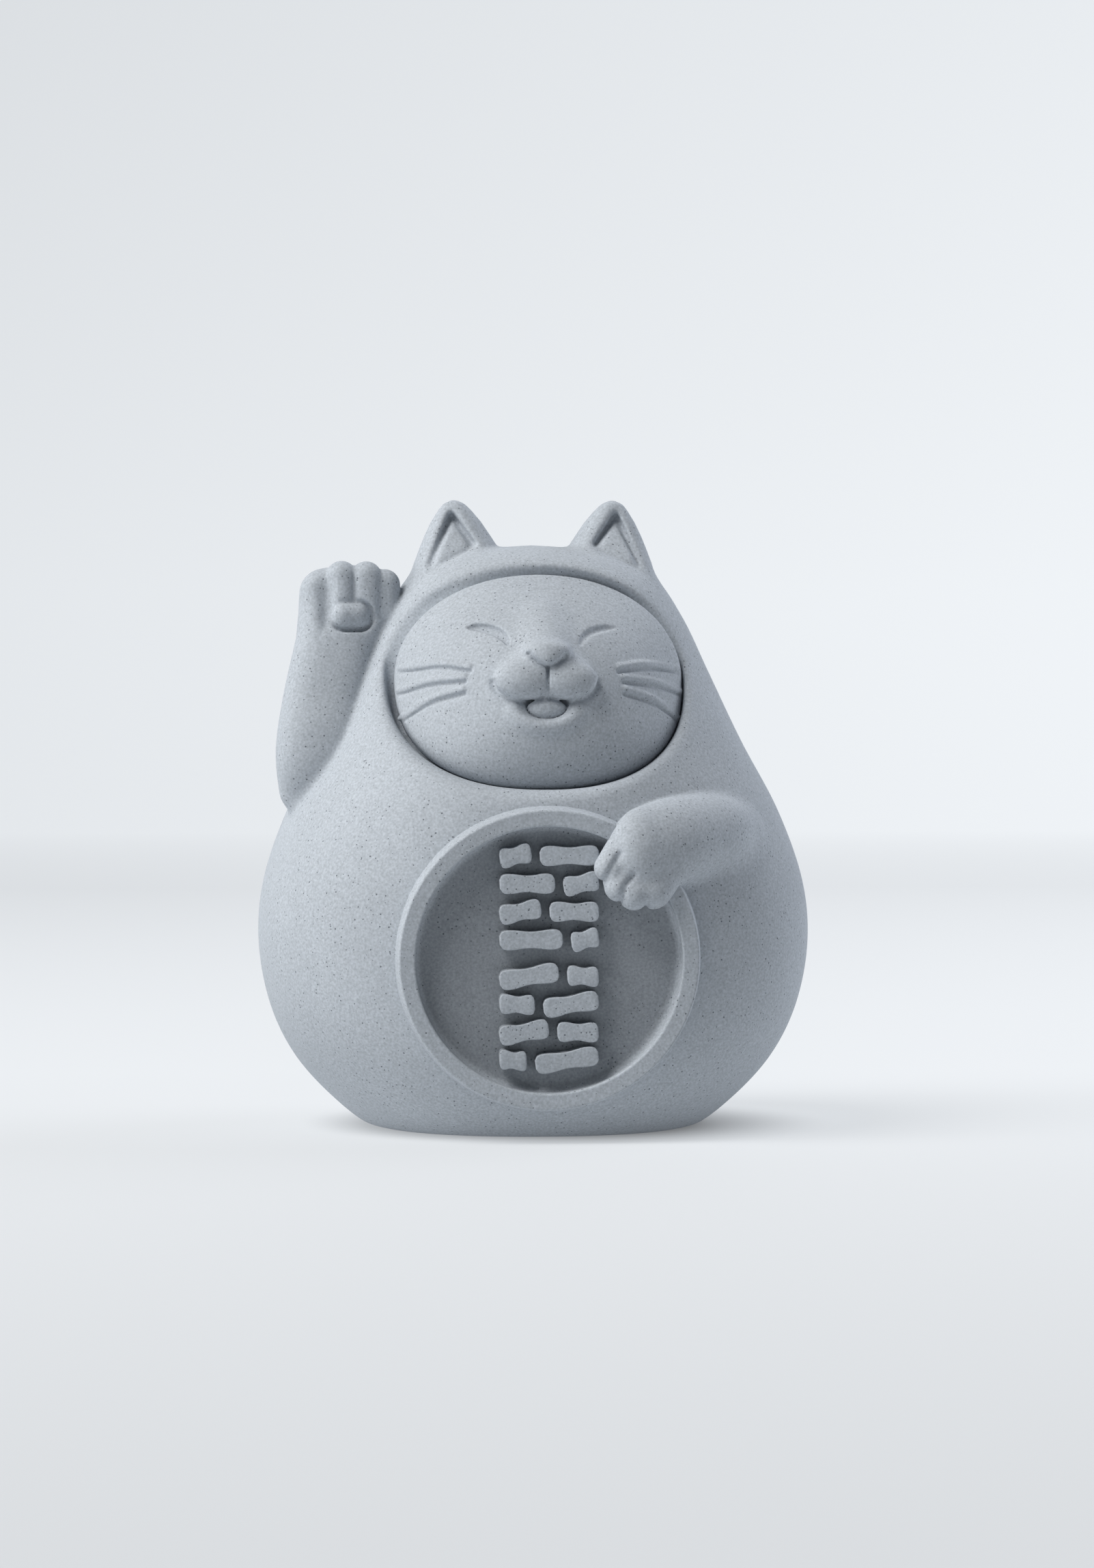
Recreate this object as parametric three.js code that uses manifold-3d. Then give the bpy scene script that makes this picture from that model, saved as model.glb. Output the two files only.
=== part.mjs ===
// A lucky cat with a round, pear-shaped body, cast in one piece of fine grey cement.
// Its right paw beckons beside the head and its left paw holds a large round coin to the belly.
// Millimetres, +Z up. The cat looks along -Y. The origin is on the flat underside, on the upright axis.

import * as THREE from 'three';
import { ParametricGeometry } from 'three/addons/geometries/ParametricGeometry.js';
import { mergeVertices } from 'three/addons/utils/BufferGeometryUtils.js';
import Module from 'manifold-3d';

const wasm = await Module();
wasm.setup();

// Driving dimensions

// Half-widths of the body at each height: to the sides, to the front and to the back
const bodyStations = [
	{ z: 0, side: 23.4, front: 24.6, back: 18.5 },
	{ z: 4.2, side: 29.2, front: 31.2, back: 25.0 },
	{ z: 10.5, side: 34.8, front: 34.8, back: 30.5 },
	{ z: 18, side: 38.4, front: 36.3, back: 34.2 },
	{ z: 27, side: 40.0, front: 36.8, back: 35.8 },
	{ z: 36, side: 39.2, front: 36.5, back: 35.0 },
	{ z: 46, side: 35.7, front: 34.8, back: 31.8 },
	{ z: 56, side: 30.5, front: 31.2, back: 27.6 },
	{ z: 66, side: 25.8, front: 26.8, back: 23.8 },
	{ z: 74, side: 22.0, front: 22.6, back: 20.4 },
	{ z: 80, side: 17.7, front: 17.8, back: 16.8 },
	{ z: 83.3, side: 11.0, front: 10.6, back: 10.4 },
	{ z: 84.5, side: 0, front: 0, back: 0 },
];
const footCentreY = -3; // where the fan of the flat underside meets
// Exponent of the plan outline in front, where 2 is an ellipse: most at the belly, where the coin sits
const frontSquareness = { least: 2.05, most: 2.6, z: 28, spread: 24 };

// The outline of the face, and the dome inside it
const face = {
	halfWidth: 20.6,
	halfHeight: 15.35,
	midZ: 64.45,
	squareness: { above: 2.08, below: 2.35 },
	rimY: -14.9, // at the temples
	rimBend: { z: 62.3, soft: 2.5 }, // below this the edge comes forward as much as it drops
	rimBrow: { z: 70, span: 9.8, ahead: 1.1 }, // above this it comes forward again
	crownZ: 60.5, // height of the dome's foremost point
	crownY: -32.4,
	steepness: { sides: 0.8, change: 0.27 }, // exponent of the dome's profile, larger for the brow than the chin
	backY: -8,
};
// Widths of the groove round the face at the cat's right and left, over the brow and under the chin
const groove = { right: 0.9, left: 0.4, brow: 0.75, chin: 0.3 };
const grooveMouth = { bevel: 0.3, rise: 2.2, clear: -50 };
const noGroove = { right: 0, left: 0, brow: 0, chin: 0 };

const muzzle = {
	lobe: { x: 2.95, y: -30.8, z: 64.6, halfX: 4.6, halfY: 2.75, halfZ: 3.1 },
	nose: { x: 0.2, y: -31.4, z: 67.95, halfX: 3.1, halfY: 2.15, halfZ: 1.8, lean: 22 },
	bridge: [
		{ at: [0.2, -30.1, 68.0], wide: 2.6, deep: 1.9 },
		{ at: [0.1, -23.9, 73.0], wide: 2.0, deep: 1.2 },
	],
	mouth: { x: -0.1, y: -33.2, z: 61.7, halfX: 4.6, halfY: 2.7, halfZ: 2.8 },
	tongue: { x: 0.1, y: -30.7, z: 60.5, halfX: 2.75, halfY: 1.2, halfZ: 1.5 },
};

// Points (x, z) on the face; eyes and whiskers are those of the side at +X and the other side mirrors them
const lipLine = [[-4.9, 60.1], [-3.6, 59.1], [-1.9, 58.4], [0, 58.15], [1.9, 58.4], [3.6, 59.1], [4.9, 60.1]];
const eyeLine = [[10.35, 72.2], [8.6, 72.1], [6.4, 71.3], [5.1, 69.7]];
const whiskerLines = [
	[[10.5, 66.5], [14.6, 67.0], [19.9, 66.4]],
	[[11.2, 65.05], [15.9, 64.5], [20.2, 63.2]],
	[[11.3, 63.4], [15.7, 62.0], [20.0, 59.2]],
];
// Radius, how far the middle of the line stands out of the face, and the share of the radius left at its ends
const lip = { radius: 0.85, out: -0.3, ends: 0.6 };
const eye = { radius: 0.55, out: 0.05, ends: 0.55 };
const whisker = { radius: 0.5, out: -0.1, ends: 0.7 };

// Sections of the ear at +X: from its inner to its outer edge, and from front to back
const earStations = [
	{ z: 75, inner: 2.0, outer: 18.4, front: -12.5, back: 6.5 },
	{ z: 81.8, inner: 3.9, outer: 17.3, front: -9.4, back: 4.2 },
	{ z: 83.8, inner: 4.9, outer: 16.6, front: -8.0, back: 3.2 },
	{ z: 85.8, inner: 6.2, outer: 15.8, front: -6.9, back: 2.2 },
	{ z: 87.8, inner: 7.55, outer: 14.85, front: -6.0, back: 1.3 },
	{ z: 89.5, inner: 9.0, outer: 13.8, front: -5.2, back: 0.3 },
	{ z: 90.4, inner: 9.95, outer: 13.1, front: -4.6, back: -0.5 },
	{ z: 90.85, inner: 10.8, outer: 12.3, front: -3.8, back: -1.4 },
	{ z: 91.0, inner: 11.6, outer: 11.6, front: -2.6, back: -2.6 },
];
const earSquareness = 2.5;
const earPocket = {
	apex: [11.95, 88.8],
	outer: [15.2, 80.9],
	inner: [8.9, 84.2],
	floorY: -9.4, // at the height of the outer corner
	floorSlope: 0.62,
	depth: 12,
	straight: 0.86, // share of each side before its corner bends
};

// The raised arm at -X, from the elbow to the paw
const raisedArm = [
	{ at: [-33.0, -8.0, 49.6], wide: 3.9, deep: 4.0 },
	{ at: [-31.3, -9.0, 54.6], wide: 6.2, deep: 5.6 },
	{ at: [-30.5, -7.6, 61.5], wide: 6.0, deep: 5.2 },
	{ at: [-28.9, -5.6, 69.0], wide: 5.9, deep: 4.8 },
	{ at: [-27.2, -4.4, 74.0], wide: 6.5, deep: 4.6 },
];
const raisedPaw = { x: -26.7, y: -3.2, z: 76.6, halfX: 6.7, halfY: 4.2, halfZ: 4.9 };
const raisedToes = [
	{ x: -30.9, y: -4.9, top: 80.7, halfX: 3.0 },
	{ x: -27.95, y: -6.0, top: 82.0, halfX: 2.4 },
	{ x: -24.35, y: -6.0, top: 81.95, halfX: 2.4 },
	{ x: -21.9, y: -5.1, top: 80.85, halfX: 2.45 },
];
const raisedToe = { halfY: 3.2, halfZ: 4.4 };
const palmPad = { x: -26.5, y: -8.0, z: 74.05, halfX: 2.9, halfY: 1.9, halfZ: 2.1 };

// The arm at +X that holds the coin, from the shoulder to the knuckles
const holdingArm = [
	{ at: [25.9, -21.9, 42.0], wide: 5.9, deep: 5.4 },
	{ at: [23.6, -26.2, 42.3], wide: 6.2, deep: 5.8 },
	{ at: [20.8, -29.1, 42.3], wide: 6.3, deep: 6.1 },
	{ at: [16.6, -33.0, 41.3], wide: 6.3, deep: 5.7 },
	{ at: [13.3, -35.6, 39.6], wide: 5.9, deep: 4.7 },
];
const holdingToes = [
	{ root: [11.3, -36.4, 43.8], tip: [8.05, -38.5, 38.8], radius: 2.15 },
	{ root: [13.2, -36.2, 40.2], tip: [9.5, -38.9, 35.8], radius: 2.25 },
	{ root: [15.2, -36.0, 38.6], tip: [12.0, -38.9, 34.5], radius: 2.3 },
	{ root: [16.8, -35.4, 38.8], tip: [14.6, -37.8, 35.0], radius: 2.85 },
];

const coin = {
	x: 0.1,
	z: 25.7,
	y: -36.9, // front of the rim, at the coin's centre
	tilt: 2, // degrees by which the top leads
	radius: 20.95,
	rimWidth: 2.35,
	edge: 0.3,
	draft: 0.14, // growth of the radius for each millimetre behind the front
	thickness: 9,
	dishDepth: 2.9,
	dishRound: 1.5,
	dishTurns: [15, 45, 90], // degrees at which that rounding is faceted
	dishMouth: 6, // how far the cut for the dish reaches ahead of the coin
};

// Two blocks of raised strokes on the coin, each in even rows
const strokes = {
	blockTops: [15.9, -0.9], // above the coin's centre
	rowPitch: 3.9,
	blockWidth: 13.8,
	halfHeight: 1.38,
	gap: 1.2,
	splits: [0.36, 0.6, 0.46, 0.68],
	slant: 0.09,
	bend: 0.25,
	waist: 0.8, // share of the half height left at a stroke's middle
	endRound: 0.7,
	rise: 2.4,
	root: 1, // depth to which they stand in the coin
};

// Rings along and sides round each form
const facets = {
	body: [25, 50],
	ear: 14,
	pocketCorner: 3,
	face: 40,
	paw: [16, 8],
	toe: [12, 7],
	pad: [14, 7],
	nose: [12, 6],
	bridge: [2, 10, 2],
	lobe: [16, 8],
	raisedArm: [9, 16],
	holdingArm: [8, 16],
	holdingToe: [2, 8, 2],
	cap: 3, // rings of a limb's round end
	lip: [8, 6],
	eye: [5, 6],
	whisker: [4, 6],
	coin: 56,
	dish: 48,
};

// Helpers

const degrees = THREE.MathUtils.degToRad;
const towardsViewer = new THREE.Vector3(0, -1, 0);

// A closed three.js geometry as a manifold-3d solid
function solidOf(geometry) {
	const bare = new THREE.BufferGeometry();
	bare.setAttribute('position', geometry.getAttribute('position'));
	bare.setIndex(geometry.getIndex());
	const merged = mergeVertices(bare, 1e-4);
	const corners = merged.getIndex().array;
	const kept = [];
	for (let i = 0; i < corners.length; i += 3) {
		const [a, b, c] = corners.slice(i, i + 3);
		if (a !== b && b !== c && c !== a) kept.push(a, b, c);
	}
	return new wasm.Manifold(new wasm.Mesh({
		numProp: 3,
		vertProperties: new Float32Array(merged.getAttribute('position').array),
		triVerts: new Uint32Array(kept),
	}));
}

function geometryOf(solid) {
	const mesh = solid.getMesh();
	const geometry = new THREE.BufferGeometry();
	geometry.setAttribute('position', new THREE.BufferAttribute(mesh.vertProperties, 3));
	geometry.setIndex(new THREE.BufferAttribute(mesh.triVerts, 1));
	geometry.computeVertexNormals();
	return geometry;
}

const joined = (solids) => solids.reduce((all, one) => all.add(one));

// A signed power, which squares a circle off
const squared = (value, exponent) => Math.sign(value) * Math.abs(value) ** (2 / exponent);

// A closed skin of rings, where place(ring, turn) gives a point and the end rings are single points
function skin(place, rings, sides) {
	const lay = (around, along, target) => {
		const turn = Math.round(around * sides) % sides / sides * Math.PI * 2;
		target.copy(place(Math.round(along * rings), turn));
	};
	return solidOf(new ParametricGeometry(lay, sides, rings));
}

// An ellipsoid whose poles point to the front and the back, leaning back by some degrees
function blob({ x = 0, y, z, halfX, halfY, halfZ, lean = 0 }, across, along) {
	const geometry = new THREE.SphereGeometry(1, across, along);
	geometry.rotateX(Math.PI / 2);
	geometry.scale(halfX, halfY, halfZ);
	geometry.rotateX(degrees(-lean));
	geometry.translate(x, y, z);
	return solidOf(geometry);
}

// A limb with round ends along a curve, oval in section: wide across and deep towards the viewer
function limb(stations, rings, sides, capRings = facets.cap) {
	const path = new THREE.CatmullRomCurve3(stations.map((s) => new THREE.Vector3(...s.at)));
	const sizes = new THREE.SplineCurve(stations.map((s) => new THREE.Vector2(s.wide, s.deep)));
	const place = (ring, turn) => {
		const t = THREE.MathUtils.clamp((ring - capRings) / rings, 0, 1);
		const beyond = Math.min(0, ring - capRings) + Math.max(0, ring - capRings - rings);
		const bow = beyond / capRings * Math.PI / 2;
		const size = sizes.getPoint(t);
		const tangent = path.getTangent(t);
		const outward = towardsViewer.clone().addScaledVector(tangent, -towardsViewer.dot(tangent)).normalize();
		const across = tangent.clone().cross(outward);
		return path.getPoint(t)
			.addScaledVector(tangent, Math.sin(bow) * Math.min(size.x, size.y))
			.addScaledVector(outward, Math.cos(bow) * Math.cos(turn) * size.y)
			.addScaledVector(across, Math.cos(bow) * Math.sin(turn) * size.x);
	};
	return skin(place, rings + 2 * capRings, sides);
}

// A thin round ridge along points (x, z) of the face, thinner at its ends
function ridge(line, { radius, out, ends }, rings, sides) {
	const last = line.length - 1;
	const stations = line.map(([x, z], i) => {
		const size = radius * (i === 0 || i === last ? ends : 1);
		return { at: onFace(x, z, out), wide: size, deep: size };
	});
	return limb(stations, rings, sides, 1);
}

const mirrored = (line, side) => line.map(([x, z]) => [side * x, z]);

// A turned solid around the coin's axis, from points (radius, distance behind the coin's front)
function turned(profile, sides) {
	const geometry = new THREE.LatheGeometry(profile.map(([r, behind]) => new THREE.Vector2(r, behind)), sides);
	return solidOf(geometry);
}

// Sets a solid made around the origin, with +Y behind the coin's front, on the belly
function onBelly(solid) {
	return solid.rotate([coin.tilt, 0, 0]).translate([coin.x, coin.y, coin.z]);
}

// Body

const bodyHeights = new THREE.SplineCurve(bodyStations.map((s, i) => new THREE.Vector2(i, s.z)));
const bodySizes = new THREE.CatmullRomCurve3(
	bodyStations.map((s) => new THREE.Vector3(s.side, s.front, s.back)), false, 'catmullrom', 0.5);

function makeBody(rings, sides) {
	const place = (ring, turn) => {
		if (ring === 0) return new THREE.Vector3(0, footCentreY, 0);
		const t = (ring - 1) / (rings - 1);
		const size = bodySizes.getPoint(t);
		const z = bodyHeights.getPoint(t).y;
		const [c, s] = [Math.cos(turn), Math.sin(turn)];
		if (s >= 0) return new THREE.Vector3(size.x * c, size.z * s, z);
		const { least, most, z: squarest, spread } = frontSquareness;
		const exponent = least + (most - least) * Math.exp(-(((z - squarest) / spread) ** 2));
		return new THREE.Vector3(size.x * squared(c, exponent), size.y * squared(s, exponent), z);
	};
	return skin(place, rings, sides);
}

// Face

function rimY(z) {
	const { rimBend, rimBrow } = face;
	const lower = rimBend.soft * Math.log1p(Math.exp((rimBend.z - z) / rimBend.soft));
	return face.rimY - lower - rimBrow.ahead * Math.max(0, (z - rimBrow.z) / rimBrow.span) ** 2;
}

// How far the outline, grown by a groove and its bevel, lies from the dome's crown in a direction
function outlineReach(turn, gap, bevel = 0) {
	let [near, far] = [0, 2 * face.halfWidth];
	for (let halving = 0; halving < 30; halving++) {
		const reach = (near + far) / 2;
		const x = reach * Math.cos(turn);
		const z = face.crownZ + reach * Math.sin(turn) - face.midZ;
		const power = z > 0 ? face.squareness.above : face.squareness.below;
		const wide = face.halfWidth + (x > 0 ? gap.left : gap.right) + bevel;
		const tall = face.halfHeight + (z > 0 ? gap.brow : gap.chin) + bevel;
		if (Math.abs(x / wide) ** power + Math.abs(z / tall) ** power < 1) near = reach;
		else far = reach;
	}
	return near;
}

// A point of the dome: share 0 is its crown and share 1 is on the outline
function domePoint(share, turn) {
	const reach = outlineReach(turn, noGroove);
	const z = face.crownZ + share * reach * Math.sin(turn);
	const edge = rimY(face.crownZ + reach * Math.sin(turn));
	const steepness = face.steepness.sides + face.steepness.change * Math.sin(turn);
	const bulge = Math.max(0, 1 - share * share) ** steepness;
	return new THREE.Vector3(share * reach * Math.cos(turn), edge + (face.crownY - edge) * bulge, z);
}

function onFace(x, z, out = 0) {
	const turn = Math.atan2(z - face.crownZ, x);
	const share = Math.hypot(x, z - face.crownZ) / outlineReach(turn, noGroove);
	return [x, domePoint(Math.min(share, 1), turn).y - out, z];
}

function makeDome(sides) {
	const shares = [0, 0.18, 0.36, 0.52, 0.66, 0.78, 0.87, 0.93, 0.975, 1];
	const place = (ring, turn) => {
		if (ring === 0) return new THREE.Vector3(0, face.backY, face.midZ);
		if (ring === 1) return domePoint(1, turn).setY(face.backY);
		return domePoint(shares[shares.length + 1 - ring], turn);
	};
	return skin(place, shares.length + 1, sides);
}

// What the hood loses around the face: a groove with a bevelled mouth
function makeHoodOpening(sides) {
	const place = (ring, turn) => {
		if (ring === 0) return new THREE.Vector3(0, face.backY, face.midZ);
		if (ring === 4) return new THREE.Vector3(0, grooveMouth.clear, face.midZ);
		const reach = outlineReach(turn, groove, (ring - 1) * grooveMouth.bevel);
		const z = face.crownZ + reach * Math.sin(turn);
		const edge = rimY(z);
		const y = [0, edge, edge - grooveMouth.rise, grooveMouth.clear][ring];
		return new THREE.Vector3(reach * Math.cos(turn), y, z);
	};
	return skin(place, 4, sides);
}

function makeFeatures() {
	const added = [limb(muzzle.bridge, ...facets.bridge), blob(muzzle.nose, ...facets.nose)];
	for (const side of [-1, 1]) {
		added.push(blob({ ...muzzle.lobe, x: side * muzzle.lobe.x }, ...facets.lobe));
		for (const line of whiskerLines) added.push(ridge(mirrored(line, side), whisker, ...facets.whisker));
	}
	return joined(added);
}

function makeFeatureCuts() {
	const eyes = [-1, 1].map((side) => ridge(mirrored(eyeLine, side), eye, ...facets.eye));
	return joined([blob(muzzle.mouth, ...facets.lobe), ...eyes]);
}

// Ears

function makeEar(side, sides) {
	const place = (ring, turn) => {
		const s = earStations[Math.max(0, ring - 1)];
		if (ring === 0) return new THREE.Vector3(side * (s.inner + s.outer) / 2, (s.front + s.back) / 2, s.z);
		const x = (s.inner + s.outer) / 2 + (s.outer - s.inner) / 2 * squared(Math.cos(turn), earSquareness);
		const y = (s.front + s.back) / 2 + (s.back - s.front) / 2 * squared(Math.sin(turn), earSquareness);
		return new THREE.Vector3(side * x, y, s.z);
	};
	return skin((ring, turn) => place(ring, side * turn), earStations.length, sides);
}

function makeEarPocket(side) {
	const { apex, outer, inner, floorY, floorSlope, depth, straight } = earPocket;
	const corners = [apex, inner, outer].map(([x, z]) => new THREE.Vector2(side * x, z));
	const shape = new THREE.Shape();
	corners.forEach((corner, i) => {
		const before = corners[(i + 2) % 3].clone().lerp(corner, straight);
		const after = corners[(i + 1) % 3].clone().lerp(corner, straight);
		shape[i ? 'lineTo' : 'moveTo'](before.x, before.y);
		shape.quadraticCurveTo(corner.x, corner.y, after.x, after.y);
	});
	shape.closePath();
	const curveSegments = facets.pocketCorner;
	const geometry = new THREE.ExtrudeGeometry(shape, { depth, bevelEnabled: false, curveSegments });
	// The extrusion runs along -Y and its back follows the slope of the ear
	const position = geometry.getAttribute('position');
	for (let i = 0; i < position.count; i++) {
		const [x, z, ahead] = [position.getX(i), position.getY(i), position.getZ(i)];
		position.setXYZ(i, x, floorY + (z - outer[1]) * floorSlope - ahead, z);
	}
	return solidOf(geometry);
}

// Paws

function makeRaisedArm() {
	const { halfY, halfZ } = raisedToe;
	const toes = raisedToes.map(({ x, y, top, halfX }) => {
		return blob({ x, y, z: top - halfZ, halfX, halfY, halfZ }, ...facets.toe);
	});
	const arm = limb(raisedArm, ...facets.raisedArm);
	return joined([arm, blob(raisedPaw, ...facets.paw), ...toes, blob(palmPad, ...facets.pad)]);
}

function makeHoldingArm() {
	const toes = holdingToes.map(({ root, tip, radius }) => limb([
		{ at: root, wide: radius, deep: radius },
		{ at: tip, wide: radius, deep: radius },
	], ...facets.holdingToe));
	return joined([limb(holdingArm, ...facets.holdingArm), ...toes]);
}

// Coin

function makeCoin() {
	const { radius, edge, draft, thickness } = coin;
	return onBelly(turned([
		[0, 0],
		[radius - edge, 0],
		[radius, edge],
		[radius + draft * thickness, thickness],
		[0, thickness],
	], facets.coin));
}

function makeDish() {
	const { radius, rimWidth, dishDepth, dishRound, dishTurns, dishMouth } = coin;
	const inner = radius - rimWidth;
	const profile = [[0, -dishMouth], [inner, -dishMouth], [inner, 0]];
	for (const turn of dishTurns) {
		const a = degrees(turn);
		profile.push([inner - dishRound * (1 - Math.cos(a)), dishDepth - dishRound * (1 - Math.sin(a))]);
	}
	profile.push([0, dishDepth]);
	return onBelly(turned(profile, facets.dish));
}

// One stroke, slightly slanted and with softened ends, standing on the dish floor
function makeStroke(left, right, z, bend) {
	const { halfHeight, slant, rise, root, waist, endRound } = strokes;
	const middle = (left + right) / 2;
	const soft = halfHeight * endRound;
	const at = (x, up) => {
		const share = (x - middle) / (right - left);
		return new THREE.Vector2(x, z + up + (x - middle) * slant + bend * Math.sin(share * Math.PI));
	};
	const shape = new THREE.Shape([
		at(left + soft, -halfHeight),
		at(middle, -halfHeight * waist),
		at(right - soft, -halfHeight),
		at(right, 0),
		at(right - soft, halfHeight),
		at(middle, halfHeight * waist),
		at(left + soft, halfHeight),
		at(left, 0),
	]);
	const geometry = new THREE.ExtrudeGeometry(shape, { depth: rise + root, bevelEnabled: false });
	geometry.rotateX(Math.PI / 2); // the extrusion now runs along -Y
	geometry.translate(0, coin.dishDepth + root, 0);
	return solidOf(geometry);
}

function makeStrokes() {
	const made = [];
	strokes.blockTops.forEach((top, block) => {
		strokes.splits.forEach((split, row) => {
			const z = top - strokes.halfHeight - row * strokes.rowPitch;
			const left = -strokes.blockWidth / 2;
			const cut = left + strokes.blockWidth * (block ? 1 - split : split);
			const bend = row % 2 ? -strokes.bend : strokes.bend;
			made.push(makeStroke(left, cut - strokes.gap / 2, z, bend));
			made.push(makeStroke(cut + strokes.gap / 2, -left, z, -bend));
		});
	});
	return onBelly(joined(made));
}

// The whole cat

const hooded = joined([makeBody(...facets.body), makeEar(-1, facets.ear), makeEar(1, facets.ear)])
	.subtract(makeHoodOpening(facets.face))
	.subtract(makeEarPocket(-1))
	.subtract(makeEarPocket(1));
const lipped = makeDome(facets.face).add(ridge(lipLine, lip, ...facets.lip));
const faced = hooded.add(lipped).subtract(makeFeatureCuts()).add(makeFeatures());
const tongued = faced.add(blob(muzzle.tongue, ...facets.toe));
const coined = tongued.add(makeCoin()).subtract(makeDish()).add(makeStrokes());
const cat = coined.add(makeRaisedArm()).add(makeHoldingArm());

const cement = new THREE.MeshStandardMaterial({ color: 0x9aa5b0, roughness: 0.86, metalness: 0 });

const group = new THREE.Group();
const luckyCat = new THREE.Mesh(geometryOf(cat), cement);
luckyCat.name = 'lucky_cat';
group.add(luckyCat);

export default group;
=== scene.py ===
import math
import bmesh
import bpy
import numpy as np
from mathutils import Matrix, Vector


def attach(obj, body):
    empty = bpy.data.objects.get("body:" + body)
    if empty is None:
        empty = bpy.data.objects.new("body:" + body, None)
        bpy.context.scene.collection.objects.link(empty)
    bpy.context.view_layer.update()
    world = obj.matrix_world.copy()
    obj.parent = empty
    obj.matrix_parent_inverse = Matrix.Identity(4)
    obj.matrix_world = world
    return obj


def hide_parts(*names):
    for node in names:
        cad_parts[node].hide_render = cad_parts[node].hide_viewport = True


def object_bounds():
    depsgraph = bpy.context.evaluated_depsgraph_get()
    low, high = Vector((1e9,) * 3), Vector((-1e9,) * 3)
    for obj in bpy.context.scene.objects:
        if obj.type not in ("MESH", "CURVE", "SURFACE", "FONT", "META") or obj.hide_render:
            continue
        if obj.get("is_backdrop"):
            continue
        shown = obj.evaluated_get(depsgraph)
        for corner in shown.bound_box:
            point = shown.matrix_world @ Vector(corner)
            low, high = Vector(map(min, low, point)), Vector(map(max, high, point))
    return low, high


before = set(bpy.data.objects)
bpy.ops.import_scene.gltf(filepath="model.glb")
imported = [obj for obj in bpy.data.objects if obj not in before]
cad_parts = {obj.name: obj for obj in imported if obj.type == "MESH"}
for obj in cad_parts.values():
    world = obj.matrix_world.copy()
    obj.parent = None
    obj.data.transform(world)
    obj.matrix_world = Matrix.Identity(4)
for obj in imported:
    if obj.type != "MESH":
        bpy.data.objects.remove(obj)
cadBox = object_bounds()
scene = bpy.context.scene
mm = 0.001  # sizes below are millimetres, meshes are metres
print("frame loaded")


# camera: level with the cat's chin, a little to the cat's right

cameraSettings = {
    "aim": (2.25, 0.0, 49.6),
    "distance": 700.0,
    "turn": -3.9,  # degrees round the cat
    "rise": 0.95,  # degrees above level
    "lens": 109.76,
    "sensor": 36.0,
    "clip": (0.01, 20.0),  # metres
}


def putInScene(name, data):
    made = bpy.data.objects.new(name, data)
    scene.collection.objects.link(made)
    return made


def makeCamera(s):
    turn, rise = math.radians(s["turn"]), math.radians(s["rise"])
    back = (math.sin(turn) * math.cos(rise), -math.cos(turn) * math.cos(rise), math.sin(rise))
    data = bpy.data.cameras.new("camera")
    data.lens = s["lens"]
    data.sensor_width = s["sensor"]
    data.clip_start, data.clip_end = s["clip"]
    data.dof.use_dof = False
    camera = putInScene("camera", data)
    camera.location = [(a + s["distance"] * b) * mm for a, b in zip(s["aim"], back)]
    camera.rotation_euler = (math.radians(90 - s["rise"]), 0, turn)
    scene.camera = camera


makeCamera(cameraSettings)
print("camera placed")


# a smooth curve through stations

def throughStations(values, t, endsHeld=True):
    values = np.asarray(values, float)
    first = values[0] if endsHeld else 2 * values[0] - values[1]
    last = values[-1] if endsHeld else 2 * values[-1] - values[-2]
    padded = np.vstack([first, values, last, last])
    place = np.clip(t, 0, 1) * (len(values) - 1)
    at = np.minimum(place.astype(int), len(values) - 2)
    w = (place - at)[:, None]
    p0, p1, p2, p3 = (padded[at + k] for k in range(4))
    v0, v1 = (p2 - p0) / 2, (p3 - p1) / 2
    return ((2 * p1 - 2 * p2 + v0 + v1) * w + (-3 * p1 + 3 * p2 - 2 * v0 - v1)) * w * w + v0 * w + p1


# fields of distance, from which the casting is cut and blended like clay

farAway = 50.0  # what an empty field holds
shapeSpare = 4.6  # how far round a shape its distance is still worked out
armSpare = 3.0  # the same round a whole arm
slopeLimits = (0.05, 3.0)
leastHalf = 0.02  # no section closes further than this
sharp = 0.01  # the blend of a first shape with an empty field
tiny = 1e-6
cellCorners = [(i, j, k) for i in (0, 1) for j in (0, 1) for k in (0, 1)]
whole = (slice(None),) * 3


def makeGrid(low, high, cell):
    axes = [np.arange(a, b + cell, cell, dtype=np.float32) for a, b in zip(low, high)]
    return {"axes": axes, "cell": cell}


def blankLike(grid, cuts=whole):  # an empty field over part of a grid
    part = dict(grid, axes=[a[c] for a, c in zip(grid["axes"], cuts)])
    part["field"] = np.full([len(a) for a in part["axes"]], farAway, np.float32)
    return part


def aheadOf(grid, y):  # the part of a grid in front of a depth, which shares its field
    across, depth, up = grid["axes"]
    most = int(y / grid["cell"] - depth[0] / grid["cell"])
    return dict(grid, axes=[across, depth[:most], up], field=grid["field"][:, :most])


def windowOf(grid, low, high, spare):
    cuts = []
    for axis, a, b in zip(grid["axes"], low, high):
        first = int((a - spare - axis[0]) / grid["cell"]) - 1
        last = int((b + spare - axis[0]) / grid["cell"]) + 3
        cuts.append(slice(max(0, first), max(0, min(len(axis), last))))
    return tuple(cuts)


def pointsOf(grid, cuts=whole):
    x, y, z = (axis[cut] for axis, cut in zip(grid["axes"], cuts))
    return x[:, None, None], y[None, :, None], z[None, None, :]


def blendMin(a, b, reach):
    h = np.maximum(reach - np.abs(a - b), 0) / reach
    return np.minimum(a, b) - h * h * reach / 4


def blendMax(a, b, reach):
    return -blendMin(-a, -b, reach)


def eased(value, low, high, a, b):  # from a to b without a kink
    t = np.clip((value - low) / (high - low), 0, 1)
    return a + (b - a) * t * t * (3 - 2 * t)


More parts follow.
